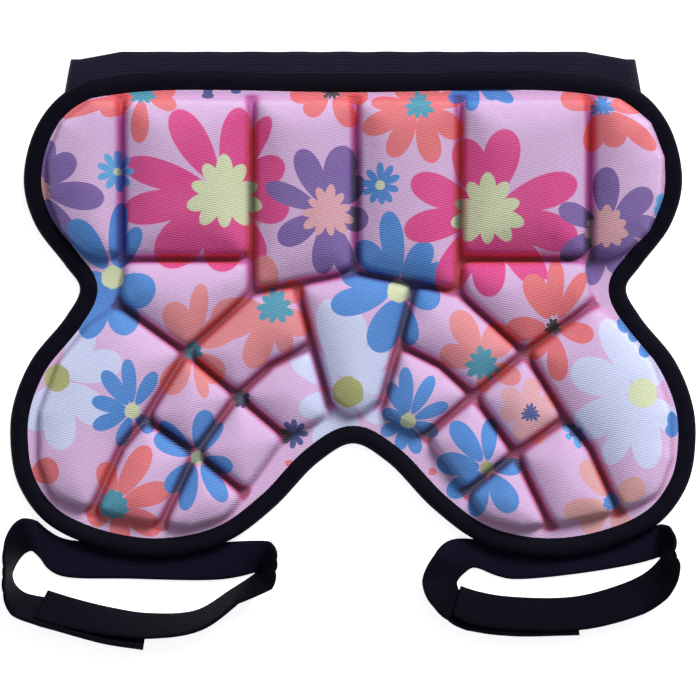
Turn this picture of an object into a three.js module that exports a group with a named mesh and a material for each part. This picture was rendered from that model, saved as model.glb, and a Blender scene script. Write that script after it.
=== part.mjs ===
// A child's padded seat guard. A butterfly-shaped panel of moulded foam blocks is bound along its
// edge, hangs from an elastic waistband loop and has a strap loop for each leg.
// It lies flat on its back with the blocks up and +Y towards the waist. Lengths are millimetres.
// The origin is the middle of the panel, on the flat back that lies on the ground.

import * as THREE from 'three';

// Panel
const panelWidth = 367;
const panelHeight = 257;
const backingThickness = 4;
const rimThickness = 2;

// Foam blocks
const blockHeight = 15;
const grooveWidth = 3.8;
const shoulderWidth = 6.5;
const blockCornerReach = 4.2;
const blockAxisOffset = 1.3;

// Edge binding
const bindingWidth = 9.3;
const tapeThickness = 1.2;

// Waistband
const waistbandWidth = 30;
const waistbandThickness = 1.6;
const waistbandReveal = 12.3;
const waistLoopWidth = 313;
const waistLoopGap = 5;
const waistEndSlant = 5.5;
const waistEndDrop = 4;
const waistDropStart = 0.85;

// Leg straps
const strapWidth = 20;
const strapThickness = 1.6;
const strapReveal = 11;
const legLoopWidth = 147;
const legLoopDepth = 69;
const legLoopOffset = 109.5;

// Air between neighbouring pieces
const clearance = 0.3;

// Shares of half the panel's height where the panel hinges up over the waistband and the straps
const waistHingeShare = 0.19;
const lobeHingeShare = -0.49;

const roundSteps = 3;
const edgeSteps = 3;
const strapSteps = 3;
const foldStep = 30;
const shallowTurn = THREE.MathUtils.degToRad(38);

const halfWidth = panelWidth / 2;
const halfHeight = panelHeight / 2;

// The right half of the panel's edge, from the middle of the top round the waist notch and the
// lobe to the crotch, as shares of half the panel's width and height.
const edgeTable = [
  { x: 0, y: 1 },
  { x: 0.654, y: 0.998 },
  { x: 0.826, y: 0.936 },
  { x: 0.919, y: 0.79 },
  { x: 0.959, y: 0.562 },
  { x: 0.927, y: 0.38 },
  { x: 0.84, y: 0.21 },
  { x: 0.797, y: 0.114 },
  { x: 0.837, y: -0.002 },
  { x: 0.939, y: -0.185 },
  { x: 0.991, y: -0.367 },
  { x: 1, y: -0.517 },
  { x: 0.977, y: -0.699 },
  { x: 0.895, y: -0.861 },
  { x: 0.741, y: -0.965 },
  { x: 0.552, y: -1 },
  { x: 0.372, y: -0.944 },
  { x: 0.233, y: -0.803 },
  { x: 0.099, y: -0.608 },
  { x: 0, y: -0.533 },
];

// Where the grooves between the blocks meet, in the same shares, from the blocks' own middle line
const grooveTable = {
  topMiddle: { x: 0, y: 0.905 },
  topInner: { x: 0.301, y: 0.905 },
  topOuter: { x: 0.679, y: 0.909 },
  shoulder1: { x: 0.767, y: 0.902 },
  shoulder2: { x: 0.86, y: 0.803 },
  shoulder3: { x: 0.901, y: 0.654 },
  shoulder4: { x: 0.898, y: 0.496 },
  shoulder5: { x: 0.858, y: 0.346 },
  shoulder6: { x: 0.773, y: 0.234 },
  rowOuter: { x: 0.679, y: 0.234 },
  rowInner: { x: 0.301, y: 0.234 },
  wedgeTop: { x: 0, y: 0.18 },
  wedgeShoulder: { x: 0.172, y: 0.133 },
  wedgeSide: { x: 0.125, y: -0.12 },
  wedgeLow: { x: 0.076, y: -0.359 },
  wedgeTip: { x: 0.026, y: -0.425 },
  archStart: { x: 0.301, y: 0.093 },
  archBend: { x: 0.247, y: -0.207 },
  crossing: { x: 0.343, y: -0.332 },
  hipNotch: { x: 0.695, y: 0.054 },
  hipFoot: { x: 0.493, y: -0.154 },
  innerTip: { x: 0.07, y: -0.425 },
  innerHeel: { x: 0.198, y: -0.508 },
  star: { x: 0.465, y: -0.571 },
  crotchHeel: { x: 0.317, y: -0.743 },
  footHeel: { x: 0.571, y: -0.886 },
  tipLow: { x: 0.477, y: -0.894 },
  tipHeel: { x: 0.365, y: -0.851 },
  lobeStep: { x: 0.612, y: -0.427 },
  lobeSide: { x: 0.682, y: -0.55 },
  lobeHeel: { x: 0.77, y: -0.828 },
  lobe1: { x: 0.887, y: -0.757 },
  lobe2: { x: 0.927, y: -0.595 },
  lobe3: { x: 0.926, y: -0.398 },
  lobe4: { x: 0.872, y: -0.191 },
  lobe5: { x: 0.783, y: -0.035 },
};

// The blocks of one side, each between the groove crossings that it touches
const blockTable = {
  side: ['topOuter', 'shoulder1', 'shoulder2', 'shoulder3', 'shoulder4', 'shoulder5', 'shoulder6', 'rowOuter'],
  tall: ['topInner', 'topOuter', 'rowOuter', 'rowInner'],
  centre: ['topMiddle', 'topInner', 'rowInner', 'archStart', 'wedgeShoulder', 'wedgeTop'],
  hip: ['rowInner', 'rowOuter', 'hipNotch', 'hipFoot', 'archStart'],
  arch: ['wedgeShoulder', 'archStart', 'hipFoot', 'crossing', 'archBend', 'wedgeSide'],
  inner: ['wedgeSide', 'archBend', 'crossing', 'innerHeel', 'innerTip'],
  middle: ['crossing', 'hipFoot', 'lobeStep', 'star'],
  crotch: ['crossing', 'star', 'crotchHeel', 'innerHeel'],
  foot: ['lobeStep', 'lobeSide', 'lobeHeel', 'footHeel', 'star'],
  tip: ['crotchHeel', 'star', 'footHeel', 'tipLow', 'tipHeel'],
  lobe: ['hipNotch', 'lobe5', 'lobe4', 'lobe3', 'lobe2', 'lobe1', 'lobeHeel', 'lobeSide', 'lobeStep', 'hipFoot'],
};
const wedgeHalf = ['wedgeTop', 'wedgeShoulder', 'wedgeSide', 'wedgeLow', 'wedgeTip'];

// A block's wall and crown: height as a share of the block's, set-back as a share of the shoulder's
const blockProfile = [
  { height: 0, setBack: 0 },
  { height: 0.5, setBack: 0.2 },
  { height: 0.8, setBack: 0.5 },
  { height: 0.94, setBack: 1 },
];
const crownRing = { height: 0.985, reach: 0.5 };

// The strap loops as they lie, from the outer end of each strap round to the end under it.
// x and y place the strap's inner edge, as shares of the loop's width and depth. heading points
// across the strap from there, lean is how far that edge-to-edge line rises, and stack lifts
// the strap where its own end lies under it.
const leftStrapTable = [
  { x: -0.37, y: -0.122, heading: -115, lean: 40, stack: 0 },
  { x: -0.274, y: -0.186, heading: -107, lean: 42, stack: 0 },
  { x: -0.135, y: -0.26, heading: -101, lean: 48, stack: 0 },
  { x: -0.001, y: -0.304, heading: -96, lean: 54, stack: 0 },
  { x: 0.176, y: -0.282, heading: -71, lean: 63, stack: 0 },
  { x: 0.304, y: -0.12, heading: -51, lean: 70, stack: 0 },
  { x: 0.396, y: 0.013, heading: -40, lean: 57, stack: 0 },
  { x: 0.407, y: 0.04, heading: 5, lean: 65, stack: 0 },
  { x: 0.399, y: 0.041, heading: 35, lean: 51, stack: 0 },
  { x: 0.381, y: 0.029, heading: 62, lean: 16, stack: 0 },
  { x: 0.327, y: -0.005, heading: 76, lean: 3, stack: 0 },
  { x: 0.238, y: -0.03, heading: 90, lean: 0, stack: 0 },
  { x: -0.068, y: -0.021, heading: 90, lean: 0, stack: 0 },
  { x: -0.316, y: -0.001, heading: 84, lean: 0, stack: 0 },
  { x: -0.367, y: 0.057, heading: 87, lean: 0, stack: 0 },
  { x: -0.395, y: 0.135, heading: 94, lean: 0, stack: 0 },
  { x: -0.426, y: 0.204, heading: 108, lean: 27, stack: 0 },
  { x: -0.453, y: 0.189, heading: 119, lean: 45, stack: 0 },
  { x: -0.476, y: 0.144, heading: 135, lean: 64, stack: 0 },
  { x: -0.496, y: 0.075, heading: 155, lean: 79, stack: 0 },
  { x: -0.506, y: 0.007, heading: 182, lean: 84, stack: 0 },
  { x: -0.494, y: -0.074, heading: 222, lean: 76, stack: 0 },
  { x: -0.456, y: -0.142, heading: 243, lean: 55, stack: 0 },
  { x: -0.36, y: -0.189, heading: 253, lean: 46, stack: 0 },
  { x: -0.143, y: -0.319, heading: 259, lean: 47, stack: 0 },
  { x: -0.006, y: -0.375, heading: 264, lean: 50, stack: 0 },
];
const rightStrapTable = [
  { x: -0.355, y: -0.089, heading: -108, lean: 44, stack: 0.5 },
  { x: -0.296, y: -0.127, heading: -102, lean: 36, stack: 0.5 },
  { x: -0.187, y: -0.167, heading: -95, lean: 34, stack: 0.5 },
  { x: 0.065, y: -0.168, heading: -84, lean: 33, stack: 0.5 },
  { x: 0.26, y: -0.049, heading: -65, lean: 24, stack: 0 },
  { x: 0.331, y: 0.029, heading: -55, lean: 34, stack: 0 },
  { x: 0.379, y: 0.119, heading: -34, lean: 59, stack: 0 },
  { x: 0.389, y: 0.147, heading: 5, lean: 74, stack: 0 },
  { x: 0.383, y: 0.158, heading: 38, lean: 71, stack: 0 },
  { x: 0.37, y: 0.158, heading: 68, lean: 38, stack: 0 },
  { x: 0.338, y: 0.125, heading: 73, lean: 2, stack: 0 },
  { x: 0.138, y: 0.038, heading: 84, lean: 0, stack: 0 },
  { x: -0.161, y: -0.024, heading: 88, lean: 0, stack: 0 },
  { x: -0.22, y: 0.001, heading: 105, lean: 0, stack: 0 },
  { x: -0.306, y: 0.066, heading: 134, lean: 4, stack: 0 },
  { x: -0.34, y: 0.03, heading: 150, lean: 20, stack: 0 },
  { x: -0.368, y: -0.04, heading: 178, lean: 22, stack: 0 },
  { x: -0.368, y: -0.092, heading: 218, lean: 38, stack: 0 },
  { x: -0.354, y: -0.136, heading: 244, lean: 40, stack: 0 },
  { x: -0.311, y: -0.161, heading: 260, lean: 27, stack: 0 },
  { x: -0.187, y: -0.214, heading: 265, lean: 34, stack: 0 },
  { x: 0.065, y: -0.209, heading: 276, lean: 33, stack: 0 },
];

const finishes = {
  print: new THREE.MeshStandardMaterial({ color: 0xd4abd5, roughness: 0.8, metalness: 0 }),
  backing: new THREE.MeshStandardMaterial({ color: 0x14141b, roughness: 0.85, metalness: 0 }),
  binding: new THREE.MeshStandardMaterial({ color: 0x12111c, roughness: 0.7, metalness: 0 }),
  elastic: new THREE.MeshStandardMaterial({ color: 0x1e1d2d, roughness: 0.75, metalness: 0 }),
  webbing: new THREE.MeshStandardMaterial({ color: 0x161525, roughness: 0.75, metalness: 0 }),
};

const model = new THREE.Group();

// How high the panel's back lies at a distance y from its middle. It is flat in the middle,
// rises over the waistband's two layers, and rises a little over the leg straps.
const waistHinge = waistHingeShare * halfHeight;
const lobeHinge = lobeHingeShare * halfHeight;
const waistbandTop = halfHeight + waistbandReveal;
const waistbandLow = waistbandTop - waistbandWidth;
const strapLine = -halfHeight - strapReveal;
const waistSlope = (2 * waistbandThickness + waistLoopGap + clearance) / (waistbandLow - waistHinge);
const lobeSlope = (strapThickness + 3 * clearance) / (lobeHinge - strapLine - strapWidth);

function backHeight(y) {
  if (y > waistHinge) return waistSlope * (y - waistHinge);
  if (y < lobeHinge) return lobeSlope * (lobeHinge - y);
  return 0;
}

// Makes a closed body of triangles from points and face corners, facing outwards
function bodyFrom(points, faces) {
  let volume = 0;
  for (const [a, b, c] of faces) {
    volume += points[a].dot(new THREE.Vector3().crossVectors(points[b], points[c]));
  }
  const ordered = volume > 0 ? faces : faces.map(([a, b, c]) => [a, c, b]);
  return ordered.map((face) => face.map((corner) => points[corner].clone()));
}

function addMesh(name, triangles, finish) {
  const geometry = new THREE.BufferGeometry();
  geometry.setFromPoints(triangles.flat());
  geometry.computeVertexNormals();
  const mesh = new THREE.Mesh(geometry, finish);
  mesh.name = name;
  model.add(mesh);
}

// Cuts every triangle along the line where y is level, so that the panel can hinge there
function cutAlong(triangles, level) {
  const result = [];
  const atLevel = (p, q) => {
    const [low, high] = p.y < q.y ? [p, q] : [q, p];
    const point = low.clone().lerp(high, (level - low.y) / (high.y - low.y));
    point.y = level;
    return point;
  };
  const side = (p) => (Math.abs(p.y - level) < 1e-6 ? 0 : Math.sign(p.y - level));
  for (const triangle of triangles) {
    const sides = triangle.map(side);
    if (!sides.includes(1) || !sides.includes(-1)) {
      result.push(triangle);
      continue;
    }
    const onLine = sides.indexOf(0);
    if (onLine >= 0) {
      const [a, b, c] = [0, 1, 2].map((step) => triangle[(onLine + step) % 3]);
      const middle = atLevel(b, c);
      result.push([a, b, middle], [a, middle.clone(), c]);
      continue;
    }
    const alone = sides.findIndex((value, index) => sides.filter((other) => other === value).length === 1);
    const [a, b, c] = [0, 1, 2].map((step) => triangle[(alone + step) % 3]);
    const first = atLevel(a, b);
    const last = atLevel(a, c);
    result.push([a, first, last], [first.clone(), b, c], [first.clone(), c.clone(), last.clone()]);
  }
  return result;
}

// Lays a flat piece of the panel over what lies under it
function settle(triangles) {
  const cut = cutAlong(cutAlong(triangles, waistHinge), lobeHinge);
  return cut.map((triangle) => triangle.map((p) => new THREE.Vector3(p.x, p.y, p.z + backHeight(p.y))));
}

// Joins rings of points into a skin. A closed skin runs from the last ring back to the first.
function skinFaces(ringCount, size, closed) {
  const faces = [];
  for (let ring = 0; ring < (closed ? ringCount : ringCount - 1); ring += 1) {
    const next = (ring + 1) % ringCount;
    for (let i = 0; i < size; i += 1) {
      const j = (i + 1) % size;
      faces.push([ring * size + i, ring * size + j, next * size + j]);
      faces.push([ring * size + i, next * size + j, next * size + i]);
    }
  }
  return faces;
}

// The panel's edge as a smooth closed line, and the same line set in by a distance
const edgeCorners = edgeTable.map(({ x, y }) => new THREE.Vector3(x * halfWidth, y * halfHeight, 0));
const mirroredCorners = edgeCorners.slice(1, -1).map((p) => new THREE.Vector3(-p.x, p.y, 0)).reverse();
const edgeCurve = new THREE.CatmullRomCurve3([...edgeCorners, ...mirroredCorners], true, 'centripetal');
const edgeCount = edgeSteps * edgeCurve.points.length;

// Runs anticlockwise seen from above, as the skins need it
function edgeSetIn(distance) {
  const line = [];
  for (let i = edgeCount; i > 0; i -= 1) {
    const point = edgeCurve.getPoint(i / edgeCount);
    const along = edgeCurve.getTangent(i / edgeCount);
    line.push(new THREE.Vector2(point.x + along.y * distance, point.y - along.x * distance));
  }
  return line;
}

function edgeSkin(section) {
  return section.flatMap(({ inset, z }) => edgeSetIn(inset).map((p) => new THREE.Vector3(p.x, p.y, z)));
}

// The backing sheet is thick under the blocks and thin where the binding folds over it
function addBacking() {
  const rimLow = tapeThickness + clearance;
  const rimHigh = rimLow + rimThickness;
  const thickInset = bindingWidth + clearance;
  const rimInset = tapeThickness + clearance;
  const section = [
    { inset: thickInset, z: 0 },
    { inset: thickInset, z: rimLow },
    { inset: rimInset, z: rimLow },
    { inset: rimInset, z: rimHigh },
    { inset: thickInset, z: rimHigh },
    { inset: thickInset, z: backingThickness },
  ];
  const faces = skinFaces(section.length, edgeCount, false);
  const top = (section.length - 1) * edgeCount;
  for (const [a, b, c] of THREE.ShapeUtils.triangulateShape(edgeSetIn(thickInset), [])) {
    faces.push([c, b, a], [top + a, top + b, top + c]);
  }
  addMesh('panel_backing', settle(bodyFrom(edgeSkin(section), faces)), finishes.backing);
}

// The binding is a tape folded over the edge, with the backing's thin rim in its fold
function addBinding() {
  const height = 2 * (tapeThickness + clearance) + rimThickness;
  const section = [
    { inset: 0, z: 0 },
    { inset: 0, z: height },
    { inset: bindingWidth, z: height },
    { inset: bindingWidth, z: height - tapeThickness },
    { inset: tapeThickness, z: height - tapeThickness },
    { inset: tapeThickness, z: tapeThickness },
    { inset: bindingWidth, z: tapeThickness },
    { inset: bindingWidth, z: 0 },
  ];
  const faces = skinFaces(section.length, edgeCount, true);
  addMesh('edge_binding', settle(bodyFrom(edgeSkin(section), faces)), finishes.binding);
}

// A polygon's corners set in by a distance and rounded. The steps depend only on the corner's
// own turn, so that rings of one polygon have matching points.
function roundedRing(corners, inset) {
  const count = corners.length;
  const setIn = corners.map((corner, i) => {
    const before = corner.clone().sub(corners[(i + count - 1) % count]).normalize();
    const after = corners[(i + 1) % count].clone().sub(corner).normalize();
    const inward = new THREE.Vector2(-before.y - after.y, before.x + after.x).normalize();
    const spread = inward.dot(new THREE.Vector2(-before.y, before.x));
    return corner.clone().addScaledVector(inward, inset / spread);
  });
  return setIn.flatMap((corner, i) => {
    const back = setIn[(i + count - 1) % count].clone().sub(corner);
    const ahead = setIn[(i + 1) % count].clone().sub(corner);
    const turn = Math.PI - back.angleTo(ahead);
    const shallow = turn < shallowTurn;
    const room = 0.45 * Math.min(back.length(), ahead.length());
    const reach = shallow ? room : Math.min(room, blockCornerReach);
    const bend = new THREE.QuadraticBezierCurve(
      corner.clone().add(back.setLength(reach)),
      corner,
      corner.clone().add(ahead.setLength(reach)),
    );
    return bend.getPoints(shallow ? roundSteps - 1 : roundSteps);
  });
}

function addBlock(name, corners) {
  const area = THREE.ShapeUtils.area(corners);
  const ordered = area > 0 ? corners : [...corners].reverse();
  const base = backingThickness + clearance;
  const rings = blockProfile.map(({ height, setBack }) => {
    const ring = roundedRing(ordered, grooveWidth / 2 + setBack * shoulderWidth);
    return ring.map((p) => new THREE.Vector3(p.x, p.y, base + height * blockHeight));
  });
  const last = rings[rings.length - 1];
  const middle = last.reduce((sum, p) => sum.add(p), new THREE.Vector3()).divideScalar(last.length);
  const crown = last.map((p) => p.clone().lerp(middle, crownRing.reach).setZ(base + crownRing.height * blockHeight));
  rings.push(crown);
  const size = crown.length;
  const points = rings.flat();
  const lowMiddle = points.push(middle.clone().setZ(base)) - 1;
  const highMiddle = points.push(middle.clone().setZ(base + blockHeight)) - 1;
  const faces = skinFaces(rings.length, size, false);
  const top = (rings.length - 1) * size;
  for (let i = 0; i < size; i += 1) {
    const j = (i + 1) % size;
    faces.push([lowMiddle, j, i], [highMiddle, top + i, top + j]);
  }
  addMesh(name, settle(bodyFrom(points, faces)), finishes.print);
}

function addBlocks() {
  const place = (key, side) => {
    const { x, y } = grooveTable[key];
    return new THREE.Vector2(side * x * halfWidth + blockAxisOffset, y * halfHeight);
  };
  for (const [name, keys] of Object.entries(blockTable)) {
    addBlock(`block_${name}_left`, keys.map((key) => place(key, -1)));
    addBlock(`block_${name}_right`, keys.map((key) => place(key, 1)));
  }
  const rightHalf = wedgeHalf.map((key) => place(key, 1));
  const leftHalf = wedgeHalf.slice(1).map((key) => place(key, -1)).reverse();
  addBlock('block_wedge', [...rightHalf, ...leftHalf]);
}

// The waistband is a closed loop pressed nearly flat. Its front layer is sewn under the panel's
// top edge and leans with it, and its back layer lies on the ground.
function addWaistband() {
  const halfDrop = (1 + waistDropStart) / 2;
  const stretch = [-1, -halfDrop, -waistDropStart, 0, waistDropStart, halfDrop];
  const stations = [];
  for (const along of stretch) stations.push({ along, turn: 90 });
  for (let turn = 90; turn > -90; turn -= foldStep) stations.push({ along: 1, turn });
  for (const along of stretch) stations.push({ along: -along, turn: -90 });
  for (let turn = -90; turn > -270; turn -= foldStep) stations.push({ along: -1, turn });
  const cornersOf = ({ along, turn }) => {
    const sunk = Math.max(0, (Math.abs(along) - waistDropStart) / (1 - waistDropStart)) * waistEndDrop;
    const angle = THREE.MathUtils.degToRad(turn);
    const normal = new THREE.Vector3(Math.cos(angle), 0, Math.sin(angle));
    const edges = [
      { y: waistbandLow - sunk, half: waistLoopWidth / 2 },
      { y: waistbandTop - sunk, half: waistLoopWidth / 2 - waistEndSlant },
    ];
    const [low, high] = edges.map(({ y, half }) => {
      const front = backHeight(y) - clearance - waistbandThickness / 2;
      const back = waistbandThickness / 2;
      const bend = (front - back) / 2;
      const x = along * (half - bend - waistbandThickness / 2);
      return new THREE.Vector3(x, y, (front + back) / 2).addScaledVector(normal, bend);
    });
    const half = normal.multiplyScalar(waistbandThickness / 2);
    return [low.clone().add(half), low.clone().sub(half), high.clone().sub(half), high.clone().add(half)];
  };
  const points = stations.flatMap(cornersOf);
  addMesh('waistband', bodyFrom(points, skinFaces(stations.length, 4, true)), finishes.elastic);
}

function addStrap(name, table, side) {
  const places = table.map(({ x, y }) => new THREE.Vector3(x * legLoopWidth, y * legLoopDepth, 0));
  const route = new THREE.CatmullRomCurve3(places, false, 'centripetal');
  const last = table.length - 1;
  const sections = [];
  for (let step = 0; step <= last * strapSteps; step += 1) {
    const row = Math.min(Math.floor(step / strapSteps), last - 1);
    const part = step / strapSteps - row;
    const between = (column) => THREE.MathUtils.lerp(table[row][column], table[row + 1][column], part);
    const heading = THREE.MathUtils.degToRad(between('heading'));
    const lean = THREE.MathUtils.degToRad(between('lean'));
    const out = new THREE.Vector3(Math.cos(heading), Math.sin(heading), 0);
    const up = new THREE.Vector3(0, 0, 1);
    const across = out.clone().multiplyScalar(Math.cos(lean)).addScaledVector(up, Math.sin(lean));
    const through = out.multiplyScalar(-Math.sin(lean)).addScaledVector(up, Math.cos(lean));
    const inner = route.getPoint(step / (last * strapSteps));
    inner.x += side * legLoopOffset;
    inner.y += strapLine;
    inner.z = (between('stack') * (strapThickness + clearance)) / Math.cos(lean);
    const outer = inner.clone().addScaledVector(across, strapWidth);
    const above = (p) => p.clone().addScaledVector(through, strapThickness);
    sections.push([inner, outer, above(outer), above(inner)]);
  }
  const points = sections.flat();
  const end = points.length;
  const faces = [
    ...skinFaces(sections.length, 4, false),
    [0, 2, 1],
    [0, 3, 2],
    [end - 4, end - 3, end - 2],
    [end - 4, end - 2, end - 1],
  ];
  addMesh(name, bodyFrom(points, faces), finishes.webbing);
}

addBacking();
addBinding();
addBlocks();
addWaistband();
addStrap('leg_strap_left', leftStrapTable, -1);
addStrap('leg_strap_right', rightStrapTable, 1);

export default model;
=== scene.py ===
import math

import bmesh
import bpy
import numpy as np
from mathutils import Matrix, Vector


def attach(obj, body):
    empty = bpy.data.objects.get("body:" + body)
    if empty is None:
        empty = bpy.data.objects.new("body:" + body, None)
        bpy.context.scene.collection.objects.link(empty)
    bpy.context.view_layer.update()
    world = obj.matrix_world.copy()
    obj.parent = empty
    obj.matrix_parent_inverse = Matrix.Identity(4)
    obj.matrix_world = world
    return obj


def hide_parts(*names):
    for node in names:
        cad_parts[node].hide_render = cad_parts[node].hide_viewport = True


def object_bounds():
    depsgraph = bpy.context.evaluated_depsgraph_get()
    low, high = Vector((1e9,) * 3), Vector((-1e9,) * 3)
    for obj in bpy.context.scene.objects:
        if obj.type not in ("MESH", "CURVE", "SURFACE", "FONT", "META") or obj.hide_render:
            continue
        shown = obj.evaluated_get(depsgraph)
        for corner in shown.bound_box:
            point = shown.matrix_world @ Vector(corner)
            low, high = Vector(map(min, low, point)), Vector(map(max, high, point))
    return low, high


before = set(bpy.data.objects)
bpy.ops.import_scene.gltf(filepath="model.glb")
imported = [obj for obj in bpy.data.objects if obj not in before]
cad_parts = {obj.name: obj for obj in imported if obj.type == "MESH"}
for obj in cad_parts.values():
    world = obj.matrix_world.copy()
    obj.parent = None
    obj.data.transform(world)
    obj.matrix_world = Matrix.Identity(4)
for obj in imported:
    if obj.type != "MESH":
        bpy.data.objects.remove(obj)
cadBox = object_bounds()

# Lengths are metres. The panel lies on its back, blocks up, with +Y towards the waist.
panel = {
    "halfWidth": 0.1835, "halfHeight": 0.1285, "backing": 0.004, "blockHeight": 0.015, "blockAxis": 0.0013,
    "binding": 0.0093, "strapLine": -0.1395, "waistTop": 0.1408, "clearance": 0.0003, "edgeSteps": 12,
}
hinge = {
    "waist": 0.0244, "waistSlope": 0.0984, "lobe": -0.063, "lobeSlope": 0.0442, "softness": 0.003, "bendHalf": 0.004,
}
batch = 4000  # points worked out at a time

# Right half of the panel's edge, from the top middle to the crotch, in half widths and half heights
edgeTable = [
    (0, 1), (0.654, 0.998), (0.826, 0.936), (0.919, 0.79), (0.959, 0.562), (0.927, 0.38), (0.84, 0.21),
    (0.797, 0.114), (0.837, -0.002), (0.939, -0.185), (0.991, -0.367), (1, -0.517), (0.977, -0.699),
    (0.895, -0.861), (0.741, -0.965), (0.552, -1), (0.372, -0.944), (0.233, -0.803), (0.099, -0.608),
    (0, -0.533),
]

# Where the grooves between the blocks meet, in the same shares, from the blocks' own middle line
grooveTable = {
    "topMiddle": (0, 0.905), "topInner": (0.301, 0.905), "topOuter": (0.679, 0.909),
    "shoulder1": (0.767, 0.902), "shoulder2": (0.86, 0.803), "shoulder3": (0.901, 0.654),
    "shoulder4": (0.898, 0.496), "shoulder5": (0.858, 0.346), "shoulder6": (0.773, 0.234),
    "rowOuter": (0.679, 0.234), "rowInner": (0.301, 0.234), "wedgeTop": (0, 0.18),
    "wedgeShoulder": (0.172, 0.133), "wedgeSide": (0.125, -0.12), "wedgeLow": (0.076, -0.359),
    "wedgeTip": (0.026, -0.425), "archStart": (0.301, 0.093), "archBend": (0.247, -0.207),
    "crossing": (0.343, -0.332), "hipNotch": (0.695, 0.054), "hipFoot": (0.493, -0.154),
    "innerTip": (0.07, -0.425), "innerHeel": (0.198, -0.508), "star": (0.465, -0.571),
    "crotchHeel": (0.317, -0.743), "footHeel": (0.571, -0.886), "tipLow": (0.477, -0.894),
    "tipHeel": (0.365, -0.851), "lobeStep": (0.612, -0.427), "lobeSide": (0.682, -0.55),
    "lobeHeel": (0.77, -0.828), "lobe1": (0.887, -0.757), "lobe2": (0.927, -0.595),
    "lobe3": (0.926, -0.398), "lobe4": (0.872, -0.191), "lobe5": (0.783, -0.035),
}
blockTable = {
    "side": ["topOuter", "shoulder1", "shoulder2", "shoulder3", "shoulder4", "shoulder5", "shoulder6", "rowOuter"],
    "tall": ["topInner", "topOuter", "rowOuter", "rowInner"],
    "centre": ["topMiddle", "topInner", "rowInner", "archStart", "wedgeShoulder", "wedgeTop"],
    "hip": ["rowInner", "rowOuter", "hipNotch", "hipFoot", "archStart"],
    "arch": ["wedgeShoulder", "archStart", "hipFoot", "crossing", "archBend", "wedgeSide"],
    "inner": ["wedgeSide", "archBend", "crossing", "innerHeel", "innerTip"],
    "middle": ["crossing", "hipFoot", "lobeStep", "star"],
    "crotch": ["crossing", "star", "crotchHeel", "innerHeel"],
    "foot": ["lobeStep", "lobeSide", "lobeHeel", "footHeel", "star"],
    "tip": ["crotchHeel", "star", "footHeel", "tipLow", "tipHeel"],
    "lobe": ["hipNotch", "lobe5", "lobe4", "lobe3", "lobe2", "lobe1", "lobeHeel", "lobeSide", "lobeStep", "hipFoot"],
}
wedgeHalf = ["wedgeTop", "wedgeShoulder", "wedgeSide", "wedgeLow", "wedgeTip"]


def colour(red, green, blue):
    values = [c / 255 for c in (red, green, blue)]
    return tuple(c / 12.92 if c <= 0.04045 else ((c + 0.055) / 1.055) ** 2.4 for c in values) + (1.0,)


# How high the panel's back lies, with soft bends at the two hinge lines
def backHeight(y):
    soft = hinge["softness"]
    up = soft * np.logaddexp(0, (y - hinge["waist"]) / soft)
    low = soft * np.logaddexp(0, (hinge["lobe"] - y) / soft)
    return hinge["waistSlope"] * up + hinge["lobeSlope"] * low


# A smooth curve through points, with several steps between each two, and its direction
def smoothCurve(points, steps, closed=False):
    points = [np.array(p, dtype=float) for p in points]
    before = points[-1:] if closed else [2 * points[0] - points[1]]
    after = points[:2] if closed else [2 * points[-1] - points[-2]]
    chain = before + points + after
    spans = len(chain) - 3
    places, directions = [], []
    for step in range(spans * steps + (0 if closed else 1)):
        row = min(step // steps, spans - 1)
        t = step / steps - row
        p0, p1, p2, p3 = chain[row:row + 4]
        d0, d1, d2 = (max(np.linalg.norm(b - a), 1e-9) ** 0.5 for a, b in ((p0, p1), (p1, p2), (p2, p3)))
        m1 = ((p1 - p0) / d0 - (p2 - p0) / (d0 + d1) + (p2 - p1) / d1) * d1
        m2 = ((p2 - p1) / d1 - (p3 - p1) / (d1 + d2) + (p3 - p2) / d2) * d1
        a, b = 2 * p1 - 2 * p2 + m1 + m2, -3 * p1 + 3 * p2 - 2 * m1 - m2
        places.append(a * t ** 3 + b * t ** 2 + m1 * t + p1)
        direction = 3 * a * t ** 2 + 2 * b * t + m1
        directions.append(direction / np.linalg.norm(direction))
    return np.array(places), np.array(directions)


edgeHalf = [(x * panel["halfWidth"], y * panel["halfHeight"]) for x, y in edgeTable]
edgeCorners = edgeHalf + [(-x, y) for x, y in reversed(edgeHalf[1:-1])]
edgeLine, edgeAlong = smoothCurve(edgeCorners, panel["edgeSteps"], closed=True)
edgeInward = np.stack([edgeAlong[:, 1], -edgeAlong[:, 0]], axis=1)  # the edge runs clockwise
edgeLength = float(np.sum(np.linalg.norm(np.roll(edgeLine, -1, axis=0) - edgeLine, axis=1)))


def segmentDistances(points, starts, ends):
    along = ends - starts
    offset = points[:, None, :] - starts[None]
    share = np.clip(np.sum(offset * along, axis=2) / np.sum(along * along, axis=1), 0, 1)
    return np.linalg.norm(offset - share[..., None] * along, axis=2)


def insidePolygon(points, corners):
    x, y = points[:, 0:1], points[:, 1:2]
    x1, y1 = corners[:, 0], corners[:, 1]
    x2, y2 = np.roll(x1, -1), np.roll(y1, -1)
    crosses = (y1 > y) != (y2 > y)
    height = np.where(y2 == y1, 1e-12, y2 - y1)
    return np.sum(crosses & (x < (x2 - x1) * (y - y1) / height + x1), axis=1) % 2 == 1


# How far points lie inside the panel's edge, negative outside it
def edgeDistance(points):
    ends = np.roll(edgeLine, -1, axis=0)
    found = []
    for first in range(0, len(points), batch):
        part = points[first:first + batch]
        distance = segmentDistances(part, edgeLine, ends).min(axis=1)
        found.append(np.where(insidePolygon(part, edgeLine), distance, -distance))
    return np.concatenate(found)


def between(first, second, share):
    return first * (1 - share) + second * share


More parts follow.
